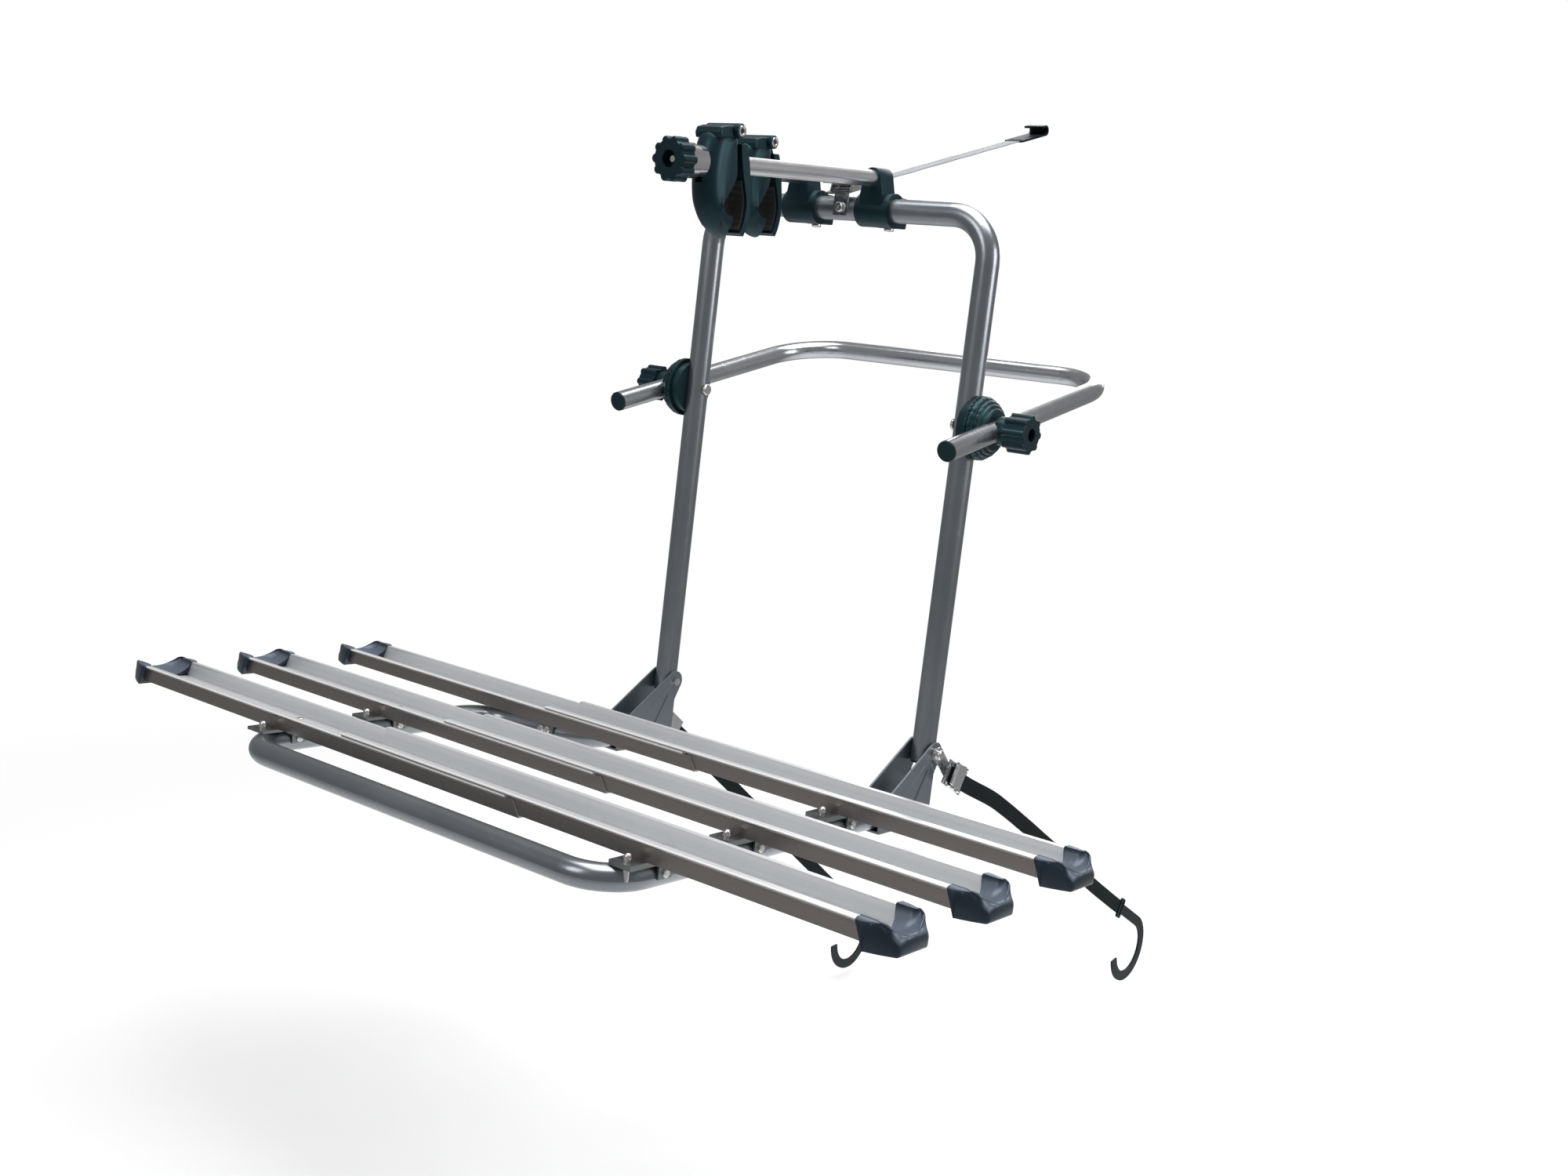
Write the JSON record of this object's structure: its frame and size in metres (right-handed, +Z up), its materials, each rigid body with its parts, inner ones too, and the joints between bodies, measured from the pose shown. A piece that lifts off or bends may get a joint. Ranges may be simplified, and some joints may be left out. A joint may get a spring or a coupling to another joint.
{
  "type": "spare wheel bike rack",
  "caption": "Bike rack with an inverted U upright, a fold-down platform with telescoped rails, a tilting hoop, arms with clamping jaws and strap hooks.",
  "frame": {"origin": "midway between the two hoop pivots on the uprights", "axes": "+X along the rails, +Y from the platform towards the hoop's closed end, +Z up"},
  "size_m": [1.449, 1.5095, 1.6574],
  "materials": {
    "frame_paint": "satin grey metallic paint",
    "bracket_paint": "satin grey metallic paint",
    "hoop_paint": "silver paint",
    "arm_metal": "polished",
    "rail_metal": "anodised satin",
    "saddle_metal": "zinc plated",
    "bolt_metal": "bright zinc",
    "cap_plastic": "slate grey moulded",
    "jaw_plastic": "black moulded",
    "disc_plastic": "black moulded",
    "knob_plastic": "black moulded, soft gloss",
    "plug_plastic": "black moulded",
    "pad_rubber": "ribbed rubber",
    "buckle_metal": "bright zinc",
    "black_webbing": "woven webbing",
    "silver_webbing": "woven webbing",
    "hook_paint": "black coating"
  },
  "bodies": {
    "upright": {"upright_frame": "frame_paint", "foot_plugs": "plug_plastic", "fold_bolts": "bolt_metal", "leg_disc_left": "disc_plastic", "leg_disc_right": "disc_plastic", "hoop_bolts": "bolt_metal", "buckle_top": "buckle_metal", "buckle_right": "buckle_metal", "buckle_left": "buckle_metal", "buckle_pins": "bolt_metal", "strap_top": "silver_webbing", "strap_right": "black_webbing", "strap_left": "black_webbing", "strap_hook_top": "hook_paint", "strap_hook_right": "hook_paint", "strap_hook_left": "hook_paint"},
    "platform": {"platform_tube": "frame_paint", "platform_plugs": "plug_plastic", "foot_bracket_left": "bracket_paint", "foot_bracket_right": "bracket_paint", "rail_1_left": "rail_metal", "rail_1_right": "rail_metal", "rail_2_left": "rail_metal", "rail_2_right": "rail_metal", "rail_3_left": "rail_metal", "rail_3_right": "rail_metal", "rail_caps": "cap_plastic", "rail_saddles": "saddle_metal", "platform_fixings": "bolt_metal"},
    "hoop": {"hoop": "hoop_paint", "hoop_plugs": "plug_plastic", "hoop_disc_left": "disc_plastic", "hoop_disc_right": "disc_plastic", "hoop_washers": "disc_plastic"},
    "hoop_knob_left": {"hoop_knob_left": "knob_plastic"},
    "hoop_knob_right": {"hoop_knob_right": "knob_plastic"},
    "lever_top": {"buckle_lever_top": "buckle_metal"},
    "lever_right": {"buckle_lever_right": "buckle_metal"},
    "lever_left": {"buckle_lever_left": "buckle_metal"},
    "arm_a": {"arm_clamp_a": "jaw_plastic", "arm_tube_a": "arm_metal", "arm_plug_a": "plug_plastic", "inner_jaw_a": "jaw_plastic", "inner_pad_a": "pad_rubber", "arm_fasteners_a": "bolt_metal"},
    "jaw_a": {"outer_jaw_a": "jaw_plastic", "outer_pad_a": "pad_rubber"},
    "collar_a": {"jaw_collar_a": "arm_metal"},
    "knob_a": {"jaw_knob_a": "knob_plastic"},
    "arm_b": {"arm_clamp_b": "jaw_plastic", "arm_tube_b": "arm_metal", "arm_plug_b": "plug_plastic", "inner_jaw_b": "jaw_plastic", "inner_pad_b": "pad_rubber", "arm_fasteners_b": "bolt_metal"},
    "jaw_b": {"outer_jaw_b": "jaw_plastic", "outer_pad_b": "pad_rubber"},
    "collar_b": {"jaw_collar_b": "arm_metal"},
    "knob_b": {"jaw_knob_b": "knob_plastic"}
  },
  "joints": [
    {"name": "platform_fold", "type": "hinge", "parent": "upright", "child": "platform", "pos_m": [0, 0, -0.48], "axis": [-1, 0, 0], "range_deg": [0, 75]},
    {"name": "hoop_tilt", "type": "hinge", "parent": "upright", "child": "hoop", "pos_m": [0, 0, 0], "axis": [1, 0, 0], "range_deg": [-60, 40]},
    {"name": "hoop_knob_left_turn", "type": "hinge", "parent": "hoop", "child": "hoop_knob_left", "pos_m": [-0.3293, 0, 0], "axis": [-1, 0, 0], "continuous": true},
    {"name": "hoop_knob_right_turn", "type": "hinge", "parent": "hoop", "child": "hoop_knob_right", "pos_m": [0.3293, 0, 0], "axis": [1, 0, 0], "continuous": true},
    {"name": "arm_a_tilt", "type": "hinge", "parent": "upright", "child": "arm_a", "pos_m": [-0.078, 0, 0.297], "axis": [-1, 0, 0], "range_deg": [-10, 60]},
    {"name": "collar_a_slide", "type": "slide", "parent": "arm_a", "child": "collar_a", "axis": [0, -0.9956, -0.0941], "range_m": [0, 0.022]},
    {"name": "jaw_a_swing", "type": "hinge", "parent": "arm_a", "child": "jaw_a", "pos_m": [-0.078, -0.12967, 0.37243], "axis": [-1, 0, 0], "range_deg": [0, 19]},
    {"name": "knob_a_turn", "type": "hinge", "parent": "collar_a", "child": "knob_a", "pos_m": [-0.078, -0.1974, 0.32384], "axis": [0, -0.9956, -0.0941], "continuous": true},
    {"name": "arm_b_tilt", "type": "hinge", "parent": "upright", "child": "arm_b", "pos_m": [0.058, 0, 0.297], "axis": [-1, 0, 0], "range_deg": [-10, 60]},
    {"name": "collar_b_slide", "type": "slide", "parent": "arm_b", "child": "collar_b", "axis": [0, -0.9956, -0.0941], "range_m": [0, 0.022]},
    {"name": "jaw_b_swing", "type": "hinge", "parent": "arm_b", "child": "jaw_b", "pos_m": [0.058, -0.36861, 0.34985], "axis": [-1, 0, 0], "range_deg": [0, 19]},
    {"name": "knob_b_turn", "type": "hinge", "parent": "collar_b", "child": "knob_b", "pos_m": [0.058, -0.43634, 0.30126], "axis": [0, -0.9956, -0.0941], "continuous": true},
    {"name": "lever_top_lift", "type": "hinge", "parent": "upright", "child": "lever_top", "pos_m": [0, -0.01117, 0.33251], "axis": [-1, 0, 0], "range_deg": [0, 70]},
    {"name": "lever_right_lift", "type": "hinge", "parent": "upright", "child": "lever_right", "pos_m": [0.2915, 0.054, -0.5214], "axis": [0, 0.4524, 0.8918], "range_deg": [0, 70]},
    {"name": "lever_left_lift", "type": "hinge", "parent": "upright", "child": "lever_left", "pos_m": [-0.2915, 0.054, -0.56709], "axis": [0, -0.5764, -0.8171], "range_deg": [0, 70]}
  ],
  "couplings": [
    {"joint": "jaw_a_swing", "follows": "collar_a_slide", "rad_per_m": 15},
    {"joint": "jaw_b_swing", "follows": "collar_b_slide", "rad_per_m": 15}
  ]
}
